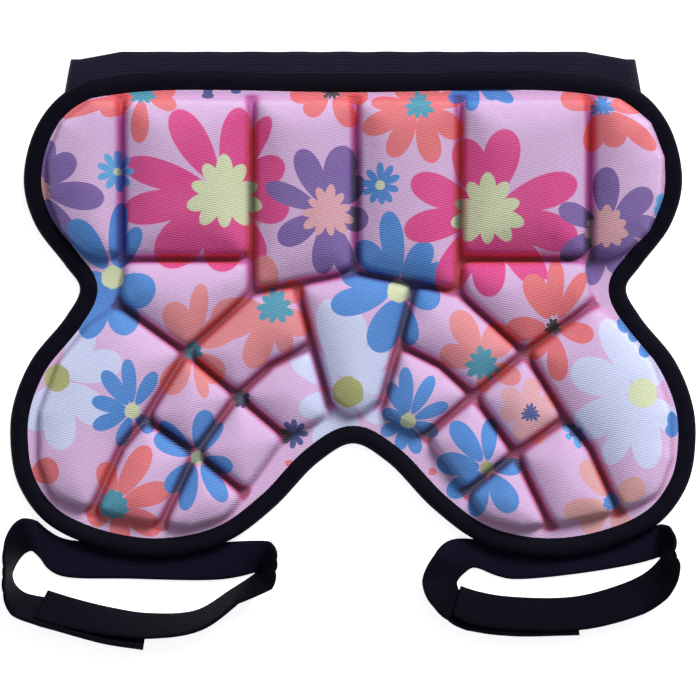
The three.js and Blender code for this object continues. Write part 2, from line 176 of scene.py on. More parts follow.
# A flat grid of faces as large as the panel
def panelGrid(pitch):
    halfWidth, halfHeight = panel["halfWidth"], panel["halfHeight"]
    columns, rows = round(2 * halfWidth / pitch), round(2 * halfHeight / pitch)
    bm = bmesh.new()
    bmesh.ops.create_grid(bm, x_segments=columns, y_segments=rows, size=1)
    bmesh.ops.scale(bm, vec=(halfWidth, halfHeight, 1), verts=bm.verts)
    return bm, columns, rows


# Cuts a grid to the panel's outline set in by a distance, and gives that line and the cut's points
def cutToOutline(bm, inset):
    centres = np.array([f.calc_center_median()[:2] for f in bm.faces])
    outside = edgeDistance(centres) < inset
    bmesh.ops.delete(bm, geom=[f for f, out in zip(bm.faces, outside) if out], context="FACES")
    return edgeLine + edgeInward * inset, [v for v in bm.verts if v.is_boundary]


def vertexPlaces(mesh):
    places = np.empty(len(mesh.vertices) * 3)
    mesh.vertices.foreach_get("co", places)
    return places.reshape(-1, 3)


def addObject(name, data):
    obj = bpy.data.objects.new(name, data)
    bpy.context.scene.collection.objects.link(obj)
    return obj


def meshOf(name, bm, materials=(), smooth=True):
    mesh = bpy.data.meshes.new(name)
    bm.to_mesh(mesh)
    bm.free()
    obj = addObject(name, mesh)
    for material in materials:
        mesh.materials.append(material)
    if smooth:
        mesh.shade_smooth()
    return obj


def setAll(thing, settings):
    for key, value in settings.items():
        setattr(thing, key, value)


def applyModifier(obj, kind, **settings):
    modifier = obj.modifiers.new(kind.lower(), kind)
    setAll(modifier, settings)
    with bpy.context.temp_override(object=obj, active_object=obj, selected_objects=[obj]):
        bpy.ops.object.modifier_apply(modifier=modifier.name)


# A ribbon from a grid. place gives the point for shares along and across, dark how far the inner side
# shows, and the UV map is in metres.
def ribbon(name, steps, place, flat, thickness, material, closed=False, dark=None):
    bm = bmesh.new()
    bmesh.ops.create_grid(bm, x_segments=steps[0], y_segments=steps[1], size=0.5, calc_uvs=False)
    spots = [(v.co.x + 0.5, v.co.y + 0.5) for v in bm.verts]
    cloth = bm.loops.layers.uv.new("cloth")
    inner = bm.verts.layers.float.new("inner")
    bm.verts.ensure_lookup_table()
    for face in bm.faces:
        for loop in face.loops:
            u, v = spots[loop.vert.index]
            loop[cloth].uv = (u * flat[1], v * flat[0])
    for vert, (u, v) in zip(bm.verts, spots):
        vert.co = Vector(place(u, v))
        vert[inner] = dark(u) if dark else 0.0
    if closed:
        bmesh.ops.remove_doubles(bm, verts=bm.verts, dist=1e-6)
    obj = meshOf(name, bm, [material])
    applyModifier(obj, "SOLIDIFY", thickness=thickness, offset=0, use_even_offset=False)
    return obj


def addNode(tree, kind, inputs=None, **settings):
    node = tree.nodes.new(kind)
    setAll(node, settings)
    for key, value in (inputs or {}).items():
        if isinstance(value, bpy.types.NodeSocket):
            tree.links.new(value, node.inputs[key])
        else:
            node.inputs[key].default_value = value
    return node


def math1(tree, operation, *values):
    return addNode(tree, "ShaderNodeMath", dict(enumerate(values)), operation=operation).outputs[0]


def mixColour(tree, factor, first, second, blend="MIX"):
    node = addNode(tree, "ShaderNodeMix", {0: factor, 6: first, 7: second}, data_type="RGBA", blend_type=blend)
    return node.outputs[2]


def tinted(tree, base, tone):
    return mixColour(tree, 1.0, base, tone, blend="MULTIPLY")


def ramp(tree, value, low, high, first=0.0, last=1.0):
    values = {0: value, 1: low, 2: high, 3: first, 4: last}
    return addNode(tree, "ShaderNodeMapRange", values, interpolation_type="SMOOTHSTEP").outputs[0]


def readAttribute(tree, name, output):
    return addNode(tree, "ShaderNodeAttribute", attribute_name=name).outputs[output]


# Gives a shader its colour, its roughness and a bump from a height
def finishShader(tree, shader, base, rough, height, strength, distance):
    bump = addNode(tree, "ShaderNodeBump", {"Strength": strength, "Distance": distance, "Height": height})
    tree.links.new(base, shader.inputs["Base Color"])
    tree.links.new(rough, shader.inputs["Roughness"])
    tree.links.new(bump.outputs[0], shader.inputs["Normal"])


def noise(tree, place, scale, detail=3.0):
    return addNode(tree, "ShaderNodeTexNoise", {"Vector": place, "Scale": scale, "Detail": detail}).outputs[0]


def lengthOf(tree, vector):
    return addNode(tree, "ShaderNodeVectorMath", {0: vector}, operation="LENGTH").outputs["Value"]


def newMaterial(name, viewColour):
    material = bpy.data.materials.new(name)
    material.use_nodes = True
    material.diffuse_color = viewColour
    tree = material.node_tree
    shader = next(n for n in tree.nodes if n.type == "BSDF_PRINCIPLED")
    return material, tree, shader


# Fine wavy ribs of knitted or woven cloth, as a height and a mask that is high on the rib crests and in random patches
def makeRibGroup():
    tree = bpy.data.node_groups.new("clothRibs", "ShaderNodeTree")
    for socket, way, kind in (
        ("Vector", "INPUT", "Vector"), ("Pitch", "INPUT", "Float"), ("Waver", "INPUT", "Float"),
        ("Height", "OUTPUT", "Float"), ("Tint", "OUTPUT", "Float"),
    ):
        tree.interface.new_socket(socket, in_out=way, socket_type="NodeSocket" + kind)
    start, end = tree.nodes.new("NodeGroupInput"), tree.nodes.new("NodeGroupOutput")
    cloth = start.outputs["Vector"]
    place = addNode(tree, "ShaderNodeSeparateXYZ", {0: cloth})
    waver = math1(tree, "SUBTRACT", noise(tree, cloth, 110.0), 0.5)
    waver = math1(tree, "MULTIPLY", waver, start.outputs["Waver"])
    across = math1(tree, "ADD", math1(tree, "DIVIDE", place.outputs[1], start.outputs["Pitch"]), waver)
    rib = math1(tree, "ABSOLUTE", math1(tree, "SINE", math1(tree, "MULTIPLY", across, math.pi)))
    stitch = math1(tree, "DIVIDE", place.outputs[0], start.outputs["Pitch"])
    knot = math1(tree, "SINE", math1(tree, "MULTIPLY", math1(tree, "ADD", stitch, across), 2 * math.pi))
    height = math1(tree, "ADD", math1(tree, "MULTIPLY", rib, 0.8), math1(tree, "MULTIPLY", knot, 0.2))
    tree.links.new(height, end.inputs["Height"])
    patch = math1(tree, "MULTIPLY", noise(tree, cloth, 45.0), 0.4)
    crestMask = math1(tree, "ADD", math1(tree, "MULTIPLY", rib, 0.6), patch)
    tree.links.new(crestMask, end.inputs["Tint"])
    return tree


ribGroup = makeRibGroup()
ribDepth = 0.0004


# Woven tape: ribs along the tape and rows of stitches, darker on its inner side
def makeTapeMaterial(name, settings):
    material, tree, shader = newMaterial(name, settings["colour"])
    cloth = addNode(tree, "ShaderNodeUVMap", uv_map="cloth").outputs[0]
    look = {"Vector": cloth, "Pitch": settings["pitch"], "Waver": settings["waver"]}
    ribs = addNode(tree, "ShaderNodeGroup", look, node_tree=ribGroup)
    place = addNode(tree, "ShaderNodeSeparateXYZ", {0: cloth})
    # Darker between the ribs, painted shade in the troughs, and in random patches
    shade = ramp(tree, ribs.outputs["Tint"], 0.1, 0.9)
    base = mixColour(tree, shade, settings["shade"], settings["colour"])
    height = ribs.outputs["Height"]
    for row in settings["stitchRows"]:
        gap = math1(tree, "ABSOLUTE", math1(tree, "SUBTRACT", place.outputs[1], row))
        line = ramp(tree, gap, settings["thread"], settings["thread"] * 0.4)
        dash = math1(tree, "PINGPONG", math1(tree, "DIVIDE", place.outputs[0], settings["stitchLength"]), 1.0)
        stitch = math1(tree, "MULTIPLY", line, ramp(tree, dash, 0.18, 0.36))
        base = mixColour(tree, math1(tree, "MULTIPLY", stitch, 0.6), base, settings["threadColour"])
        height = math1(tree, "ADD", height, math1(tree, "MULTIPLY", stitch, 2.5))
    inner = math1(tree, "MULTIPLY", readAttribute(tree, "inner", "Fac"), 0.75)
    base = mixColour(tree, inner, base, settings["shade"])
    middle = settings["roughness"]
    rough = ramp(tree, noise(tree, cloth, 700.0, 2.0), 0.3, 0.7, middle - 0.06, middle + 0.06)
    finishShader(tree, shader, base, rough, height, settings["relief"], ribDepth)
    shader.inputs["Specular IOR Level"].default_value = settings["specular"]
    return material


# Print on the cover
petalColours = {name: colour(*values) for name, values in {
    "magenta": (206, 14, 122), "coral": (212, 92, 98), "salmon": (210, 118, 122), "peach": (206, 146, 146),
    "purple": (104, 70, 150), "blue": (32, 118, 196), "sky": (62, 150, 208), "white": (192, 199, 230),
    "navy": (30, 52, 128), "teal": (20, 132, 158), "lime": (196, 205, 162), "moss": (158, 162, 88),
    "cream": (200, 206, 170), "blush": (208, 150, 158), "black": (16, 16, 24),
}.items()}
printSheet = {
    "middle": (353, 315.5), "unit": 0.000533, "petalStart": 0.16, "taper": 0.24, "taperTo": 1.3, "reach": 0.0009,
    "layerWeight": 10, "rayScale": 20,
}

# Flowers as they lie on the panel, in print units: centre, petal colour, the eye's colour, radius,
# number of rays and their depth, then each petal's tip and width. Later flowers lie over earlier ones.
flowerTable = [
    ((57, 378), "white", "moss", 14, 6, 0.06, [(122, 360, 31), (106, 420, 31), (62, 450, 32), (92, 330, 26),
        (30, 430, 30)]),
    ((348, 392), "white", "moss", 16, 6, 0.06, [(326, 300, 30), (355, 312, 28), (384, 345, 26), (292, 350, 30),
        (300, 412, 24), (316, 446, 22), (346, 448, 24), (388, 420, 24), (398, 378, 22)]),
    ((642, 393), "white", "lime", 15, 6, 0.04, [(571, 368, 36), (575, 431, 36), (604, 320, 28), (636, 318, 26),
        (648, 468, 30), (606, 464, 24), (672, 350, 26), (680, 430, 24)]),
    ((143, 93), "coral", "teal", 14, 9, 0.35, [(140, 144, 18), (177, 109, 15), (176, 90, 16), (106, 90, 18),
        (102, 114, 19), (143, 60, 18), (60, 116, 14)]),
    ((225, 195), "magenta", "lime", 38, 10, 0.3, [(175, 112, 32), (241, 109, 28), (125, 164, 28), (122, 214, 32),
        (160, 264, 42), (222, 272, 38), (262, 262, 26), (284, 163, 30), (289, 212, 34), (270, 118, 20)]),
    ((118, 172), "sky", "cream", 4, 8, 0.1, [(118, 151, 7), (106, 155, 7), (99, 166, 7), (99, 179, 7), (108, 189, 7),
        (120, 192, 7), (130, 186, 7), (135, 172, 7), (130, 158, 7)]),
    ((36, 190), "purple", "peach", 15, 8, 0.2, [(76, 157, 25), (105, 200, 27), (50, 140, 22), (74, 244, 24),
        (40, 250, 22)]),
    ((112, 277), "blue", "lime", 12, 6, 0.06, [(72, 221, 27), (122, 203, 17), (140, 228, 18), (154, 298, 34),
        (84, 338, 28), (128, 335, 30), (85, 290, 30)]),
    ((208, 91), "navy", "navy", 5, 6, 0.1, [(208, 99, 12)]),
    ((236, 86), "navy", "navy", 3, 6, 0.1, [(236, 94, 10)]),
    ((328, 213), "purple", "blush", 27, 11, 0.34, [(300, 151, 25), (346, 147, 31), (266, 186, 20), (279, 242, 25),
        (322, 274, 23), (350, 276, 22), (368, 222, 24), (363, 178, 22)]),
    ((331, 92), "coral", "black", 9, 9, 0.45, [(306, 116, 20), (353, 127, 20), (368, 98, 18), (290, 96, 20),
        (320, 70, 18), (345, 70, 18)]),
    ((419, 107), "coral", "teal", 15, 9, 0.35, [(363, 132, 22), (390, 158, 22), (433, 164, 23), (462, 136, 24),
        (371, 103, 15), (462, 97, 18), (398, 82, 20), (436, 78, 20)]),
    ((380, 186), "blue", "cream", 5, 8, 0.08, [(380, 163, 7), (392, 167, 7), (399, 177, 7), (398, 191, 7),
        (391, 203, 7), (382, 205, 7), (371, 203, 7), (363, 194, 7), (362, 183, 7), (367, 171, 7)]),
    ((399, 291), "blue", "lime", 12, 6, 0.06, [(388, 212, 23), (429, 243, 24), (440, 300, 26), (452, 268, 24),
        (358, 242, 25), (331, 307, 27), (376, 352, 31), (412, 345, 20), (342, 276, 18)]),
    ((487, 212), "magenta", "lime", 37, 10, 0.3, [(507, 131, 35), (576, 182, 33), (577, 241, 36), (411, 181, 31),
        (404, 233, 31), (461, 140, 32), (489, 297, 33), (543, 285, 31), (441, 292, 33)]),
    ((606, 228), "purple", "blush", 22, 10, 0.25, [(605, 168, 25), (650, 191, 25), (660, 226, 22), (558, 208, 21),
        (561, 258, 20), (591, 285, 19), (619, 274, 19), (645, 260, 20)]),
    ((601, 107), "coral", "blue", 12, 9, 0.45, [(617, 148, 25), (589, 152, 20), (560, 98, 22), (645, 104, 20),
        (600, 70, 20), (655, 150, 18)]),
    ((478, 84), "blue", "navy", 7, 6, 0.2, [(469, 112, 13), (513, 102, 13), (449, 101, 15), (495, 100, 10)]),
    ((275, 307), "salmon", "teal", 19, 9, 0.34, [(261, 256, 24), (212, 324, 40), (250, 368, 27), (288, 354, 18),
        (308, 332, 24), (302, 284, 22)]),
    ((193, 351), "salmon", "teal", 10, 7, 0.25, [(170, 303, 27), (202, 284, 18), (222, 380, 26), (165, 393, 26),
        (236, 318, 30), (206, 398, 12)]),
    ((241, 399), "navy", "navy", 4, 7, 0.2, [(241, 390, 5), (249, 394, 5), (250, 402, 5), (244, 408, 5),
        (236, 407, 5), (232, 399, 5), (235, 391, 5)]),
    ((133, 411), "blue", "lime", 8, 6, 0.06, [(104, 371, 16), (128, 359, 14), (156, 372, 14), (93, 400, 15),
        (94, 427, 15), (119, 446, 13), (152, 432, 14)]),
    ((114, 505), "coral", "teal", 16, 9, 0.18, [(149, 446, 23), (170, 488, 23), (160, 532, 24), (104, 462, 20),
        (88, 522, 22), (122, 545, 20)]),
    ((197, 458), "blue", "lime", 7, 6, 0.06, [(207, 410, 21), (222, 423, 12), (160, 422, 15), (155, 436, 20),
        (167, 491, 19), (184, 510, 17), (226, 501, 17), (233, 468, 17)]),
    ((294, 434), "navy", "navy", 5, 7, 0.2, [(294, 419, 6), (304, 424, 6), (308, 434, 6), (302, 445, 6),
        (292, 449, 6), (283, 443, 6), (280, 431, 6), (285, 422, 6)]),
    ((24, 478), "coral", "coral", 4, 6, 0.1, [(59, 467, 26)]),
    ((482, 364), "salmon", "teal", 18, 9, 0.34, [(455, 311, 26), (507, 326, 32), (440, 352, 24), (520, 380, 20),
        (484, 392, 14)]),
    ((553, 327), "coral", "black", 9, 8, 0.4, [(528, 275, 24), (556, 260, 17), (585, 273, 16), (593, 336, 20),
        (559, 381, 20), (506, 330, 24), (530, 358, 18)]),
    ((530, 413), "blush", "navy", 10, 11, 0.4, [(532, 378, 18), (503, 390, 18), (500, 414, 18), (516, 440, 17),
        (540, 444, 17), (556, 398, 17), (558, 422, 17)]),
    ((408, 421), "blue", "lime", 8, 6, 0.06, [(405, 367, 14), (433, 376, 14), (448, 404, 13), (438, 434, 14),
        (418, 454, 14), (399, 450, 13), (381, 434, 13), (382, 412, 13), (389, 383, 14)]),
    ((487, 468), "blue", "moss", 7, 6, 0.06, [(452, 422, 21), (490, 419, 16), (437, 462, 23), (448, 496, 20),
        (474, 517, 18), (513, 511, 25), (523, 466, 17)]),
    ((573, 433), "sky", "navy", 4, 6, 0.1, [(563, 425, 7), (572, 424, 7), (583, 430, 7), (586, 440, 7), (580, 448, 7),
        (566, 438, 7)]),
    ((611, 502), "peach", "blue", 9, 8, 0.2, [(582, 461, 21), (563, 513, 22), (643, 482, 24), (584, 532, 22),
        (628, 535, 20)]),
    ((640, 318), "blue", "blue", 4, 6, 0.1, [(618, 328, 16), (632, 342, 12)]),
    ((652, 338), "blue", "blue", 4, 6, 0.1, [(642, 357, 13)]),
    ((680, 420), "blue", "blue", 4, 6, 0.1, [(667, 418, 14), (668, 436, 14)]),
    ((668, 205), "sky", "sky", 4, 6, 0.1, [(655, 214, 14), (657, 196, 12)]),
    ((290, 463), "coral", "coral", 3, 6, 0.1, [(285, 464, 6)]),
    ((433, 472), "coral", "coral", 4, 6, 0.1, [(429, 472, 7)]),
]


def onPanel(x, y):
    middle, unit = printSheet["middle"], printSheet["unit"]
    return np.array([(x - middle[0]) * unit, (middle[1] - y) * unit])


# Stores where each face's corners lie in its two nearest petals and its nearest eye. A petal's row
# holds its middle, direction, two half sizes, colour and layer.
def chartPrint(obj):
    mesh = obj.data
    start = printSheet["petalStart"]
    petals, eyes = [], []
    for layer, (centre, petalColour, eyeColour, radius, rays, depth, tips) in enumerate(flowerTable):
        middle = onPanel(*centre)
        eyes.append((*middle, radius * printSheet["unit"], rays, depth, *petalColours[eyeColour][:3]))
        for x, y, width in tips:
            reach = onPanel(x, y) - middle
            length = np.linalg.norm(reach)
            axis = reach / length
            heart = middle + reach * (1 + start) / 2
            half = length * (1 - start) / 2
            halfAcross = width * printSheet["unit"] / 2
            petals.append((*heart, *axis, half, halfAcross, *petalColours[petalColour][:3], layer))
    petals, eyes = np.array(petals), np.array(eyes)

    faceCount, cornerCount = len(mesh.polygons), len(mesh.loops)
    points = vertexPlaces(mesh)[:, :2]
    cornerVert = np.empty(cornerCount, dtype=np.int32)
    mesh.loops.foreach_get("vertex_index", cornerVert)
    totals = np.empty(faceCount, dtype=np.int32)
    mesh.polygons.foreach_get("loop_total", totals)
    faceOf = np.repeat(np.arange(faceCount), totals)
    corners = points[cornerVert]
    centres = np.stack([np.bincount(faceOf, corners[:, k], faceCount) / totals for k in (0, 1)], axis=1)

    def petalPlace(where, rows):
        x, y = where[..., 0] - rows[..., 0], where[..., 1] - rows[..., 1]
        along = (x * rows[..., 2] + y * rows[..., 3]) / rows[..., 4]
        across = (y * rows[..., 2] - x * rows[..., 3]) / rows[..., 5]
        limit = printSheet["taperTo"]
        return along, across / (1 + printSheet["taper"] * np.clip(along, -limit, limit))

    near, after, eyeOf = (np.empty(faceCount, dtype=int) for _ in range(3))
    for first in range(0, faceCount, batch):
        faces = slice(first, first + batch)
        part = centres[faces, None, :]
        along, across = petalPlace(part, petals[None])
        size = np.hypot(along, across)
        covers = size < 1 + printSheet["reach"] / petals[None, :, 5]
        order = np.argpartition(size - printSheet["layerWeight"] * covers * petals[None, :, 9], 1, axis=1)
        near[faces], after[faces] = order[:, 0], order[:, 1]
        gap = np.hypot(part[..., 0] - eyes[None, :, 0], part[..., 1] - eyes[None, :, 1]) / eyes[None, :, 2]
        eyeOf[faces] = np.argmin(gap, axis=1)

    def store(name, kind, values):
        layer = mesh.attributes.new(name, kind, "CORNER")
        field = "color" if kind == "FLOAT_COLOR" else "vector"
        layer.data.foreach_set(field, np.ascontiguousarray(values, dtype=np.float32).ravel())

    def opaque(values):
        return np.concatenate([values, np.ones((len(values), 1))], axis=1)

    for name, index in (("petalNear", near), ("petalNext", after)):
        rows = petals[index[faceOf]]
        store(name, "FLOAT2", np.stack(petalPlace(corners, rows), axis=1))
        store(name + "Colour", "FLOAT_COLOR", opaque(rows[:, 6:9]))
    rows = eyes[eyeOf[faceOf]]
    store("eyePlace", "FLOAT2", (corners - rows[:, :2]) / rows[:, 2:3])
    store("eyeColour", "FLOAT_COLOR", opaque(rows[:, 5:8]))
    rays = np.stack([rows[:, 3] / printSheet["rayScale"], rows[:, 4], rows[:, 4] * 0], axis=1)
    store("eyeRays", "FLOAT_COLOR", opaque(rays))


# Printed cover over the foam blocks
cover = {
    "pitch": 0.00096, "edge": 0.0062, "base": 0.0043, "low": 0.00405, "wallStart": 0.0008, "wallRun": 0.0014,
    "wallPower": 1.8, "wallShare": 0.44, "shoulderRun": 0.0095, "shoulderPower": 1.15, "cornerSoftness": 0.0020,
    "sharpTurn": 38, "crown": 0.0004, "rimDrop": 0.0003, "rimRun": 0.001, "merge": 0.00015, "smoothings": 2,
    "gapLimit": 0.009, "grooveReach": 0.0032, "crowding": 1.3, "crowdReach": 0.006, "rimShade": 0.45,
    "pink": colour(201, 163, 205), "ribPitch": 0.00115, "ribSlant": 0.2, "ribWaver": 1.5, "relief": 0.5,
    # The tones from here on are painted light: sheen on the rib crests, and shade in the grooves and creases, more
    # crimson low on the panel, also over the eyes
    "ribSheen": (0.95, 0.93, 1.0, 1.0), "shadeGamma": 2.0, "shadeTone": (1.7, 0.82, 1.15, 1.0),
    "lowShadeTone": (0.85, 0.4, 0.5, 1.0), "upperCreaseShade": (0.7, 0.45, 0.66, 1.0), "lowerCreaseShade": (0.5, 0.3, 0.38, 1.0),
    "lowerPart": (0.04, -0.01), "shadeRun": (0.22, 0.75), "creaseShadeRun": (0.62, 0.92),
    "eyeShade": (0.35, 0.4, 0.42, 1.0), "eyeShadeRun": (0.3, 0.95),
}


# Cloth simulation that swells the blocks
swell = {
    "pitch": 0.0024, "heldTo": 0.0016, "frames": 20, "most": 0.0022,
    "cloth": {
        "quality": 4, "mass": 0.2, "tension_stiffness": 4, "compression_stiffness": 4, "shear_stiffness": 4,
        "bending_stiffness": 0.3, "air_damping": 4, "use_pressure": True, "uniform_pressure_force": 40,
        "vertex_group_mass": "held",
    },
}


def blockPolygons():
    def place(key, side):
        x, y = grooveTable[key]
        return (side * x * panel["halfWidth"] + panel["blockAxis"], y * panel["halfHeight"])

    polygons = [[place(key, side) for key in keys] for keys in blockTable.values() for side in (-1, 1)]
    polygons.append([place(k, 1) for k in wedgeHalf] + [place(k, -1) for k in reversed(wedgeHalf[1:])])
    return [np.array(p) for p in polygons]


# How far each point is from its block's edge, with rounded corners
def blockDepth(points):
    depth = np.zeros(len(points))
    soft = cover["cornerSoftness"]
    for corners in blockPolygons():
        low, high = corners.min(axis=0), corners.max(axis=0)
        near = np.nonzero(np.all((points > low) & (points < high), axis=1))[0]
        near = near[insidePolygon(points[near], corners)]
        ends = np.roll(corners, -1, axis=0)
        gaps = segmentDistances(points[near], corners, ends)
        along = ends - corners
        heading = np.degrees(np.arctan2(along[:, 1], along[:, 0]))
        turn = np.abs((heading - np.roll(heading, 1) + 180) % 360 - 180)
        chain = np.cumsum(turn > cover["sharpTurn"])
        chain = chain % max(chain[-1], 1)
        total = sum(np.exp(-gaps[:, chain == k].min(axis=1) / soft) for k in np.unique(chain))
        depth[near] = np.maximum(-soft * np.log(total), 0)
    return depth


# How far each point is from the nearest block and from the second nearest, and nothing inside one
def blockGaps(points):
    first, second = np.full(len(points), 1.0), np.full(len(points), 1.0)
    for corners in blockPolygons():
        low, high = corners.min(axis=0) - cover["gapLimit"], corners.max(axis=0) + cover["gapLimit"]
        near = np.nonzero(np.all((points > low) & (points < high), axis=1))[0]
        found = segmentDistances(points[near], corners, np.roll(corners, -1, axis=0)).min(axis=1)
        found[insidePolygon(points[near], corners)] = 0
        second[near] = np.minimum(second[near], np.maximum(first[near], found))
        first[near] = np.minimum(first[near], found)
    return first, second


def coverHeight(depth):
    run = np.maximum(depth - cover["wallStart"], 0) / cover["wallRun"]
    wall = 1 - np.exp(-run ** cover["wallPower"])
    shoulder = 1 - np.exp(-(depth / cover["shoulderRun"]) ** cover["shoulderPower"])
    return cover["wallShare"] * wall + (1 - cover["wallShare"]) * shoulder


# The blocks swell under the cloth: a coarse sheet held in the grooves is blown up by the cloth solver,
# and its rise is kept as a grid of heights
def swellBlocks():
    bm, columns, rows = panelGrid(swell["pitch"])
    places = np.array([v.co[:2] for v in bm.verts])
    depth = blockDepth(places)
    for vert, share in zip(bm.verts, coverHeight(depth)):
        vert.co.z = panel["blockHeight"] * share
    obj = meshOf("swelling", bm)
    held = obj.vertex_groups.new(name="held")
    held.add([int(i) for i in np.nonzero(depth < swell["heldTo"])[0]], 1.0, "REPLACE")
    cloth = obj.modifiers.new("cloth", "CLOTH")
    setAll(cloth.settings, swell["cloth"])
    cloth.settings.effector_weights.gravity = 0
    for step in range(1, swell["frames"] + 1):
        bpy.context.scene.frame_set(step)
    done = obj.evaluated_get(bpy.context.evaluated_depsgraph_get())
    rise = np.array([a.co.z - b.co.z for a, b in zip(done.data.vertices, obj.data.vertices)])
    print("swelling, largest rise", float(rise.max()), "mean", float(rise[depth > swell["heldTo"]].mean()))
    rise = np.clip(rise, 0, swell["most"])
    grid = np.zeros((columns + 1, rows + 1))
    column = np.rint((places[:, 0] / panel["halfWidth"] + 1) / 2 * columns).astype(int)
    row = np.rint((places[:, 1] / panel["halfHeight"] + 1) / 2 * rows).astype(int)
    grid[column, row] = rise
    bpy.context.scene.frame_set(1)
    mesh = obj.data
    bpy.data.objects.remove(obj)
    bpy.data.meshes.remove(mesh)
    return grid


def riseAt(grid, points):
    size = np.array(grid.shape) - 1
    spot = (points / (panel["halfWidth"], panel["halfHeight"]) + 1) / 2 * size
    low = np.clip(np.floor(spot).astype(int), 0, size - 1)
    part = np.clip(spot - low, 0, 1)
    x, y = low[:, 0], low[:, 1]
    near = between(grid[x, y], grid[x + 1, y], part[:, 0])
    far = between(grid[x, y + 1], grid[x + 1, y + 1], part[:, 0])
    return between(near, far, part[:, 1])


def makeCover(material):
    bm = panelGrid(cover["pitch"])[0]
    line, rim = cutToOutline(bm, cover["edge"])
    along = np.roll(line, -1, axis=0) - line
    for vert in rim:
        here = np.array(vert.co[:2])
        share = np.clip(np.sum((here - line) * along, axis=1) / np.sum(along * along, axis=1), 0, 1)
        spots = line + share[:, None] * along
        vert.co.xy = spots[np.argmin(np.sum((spots - here) ** 2, axis=1))]
    bmesh.ops.remove_doubles(bm, verts=rim, dist=cover["merge"])

    places = np.array([v.co[:] for v in bm.verts])
    gap = edgeDistance(places[:, :2])
    rise = coverHeight(blockDepth(places[:, :2]))
    rimEnd = panel["binding"] + cover["rimRun"]
    under = np.clip((rimEnd - gap) / (rimEnd - cover["edge"]), 0, 1)
    swelling = riseAt(swellBlocks(), places[:, :2])
    for vert, share, low, more in zip(bm.verts, rise, under, swelling):
        vert.co.z = cover["base"] + cover["crown"] + panel["blockHeight"] * share + more - cover["rimDrop"] * low
    for _ in range(cover["smoothings"]):
        bmesh.ops.smooth_vert(bm, verts=[v for v in bm.verts if not v.is_boundary], factor=0.5, use_axis_z=True)

    # The underside is cut at the hinge lines, where it bends
    rimEdges = [e for e in bm.edges if e.is_boundary]
    skirt = bmesh.ops.extrude_edge_only(bm, edges=rimEdges)["geom"]
    for vert in (g for g in skirt if isinstance(g, bmesh.types.BMVert)):
        vert.co.z = cover["low"]
    floor = bmesh.ops.contextual_create(bm, geom=[g for g in skirt if isinstance(g, bmesh.types.BMEdge)])["faces"]
    bends = [hinge[key] + side * hinge["bendHalf"] for key in ("waist", "lobe") for side in (-1, 1)]
    for level in bends:
        geom = floor + list({e for f in floor for e in f.edges}) + list({v for f in floor for v in f.verts})
        cut = bmesh.ops.bisect_plane(bm, geom=geom, dist=1e-7, plane_co=(0, level, 0), plane_no=(0, 1, 0))["geom"]
        floor = [g for g in cut if isinstance(g, bmesh.types.BMFace)]
    bmesh.ops.triangulate(bm, faces=floor)
    bmesh.ops.recalc_face_normals(bm, faces=bm.faces)
    for vert, up in zip(bm.verts, backHeight(np.array([v.co.y for v in bm.verts]))):
        vert.co.z += up

    obj = meshOf("printed_cover", bm, [material])
    mesh = obj.data
    points = vertexPlaces(mesh)
    # How low each point lies near the blocks' edges, kept as the mask for painted shade in the grooves; it is weaker
    # where only one block is near, as by the binding
    fall = 1 - np.clip((points[:, 2] - backHeight(points[:, 1]) - cover["base"]) / panel["blockHeight"], 0, 1)
    first, second = blockGaps(points[:, :2])
    crowded = np.clip(cover["crowding"] - second / cover["crowdReach"], cover["rimShade"], 1)
    beside = np.clip(1 - first / cover["grooveReach"], 0, 1) * crowded
    layer = mesh.attributes.new("grooveShade", "FLOAT", "POINT")
    layer.data.foreach_set("value", (fall * beside).astype(np.float32))
    chartPrint(obj)
    return obj


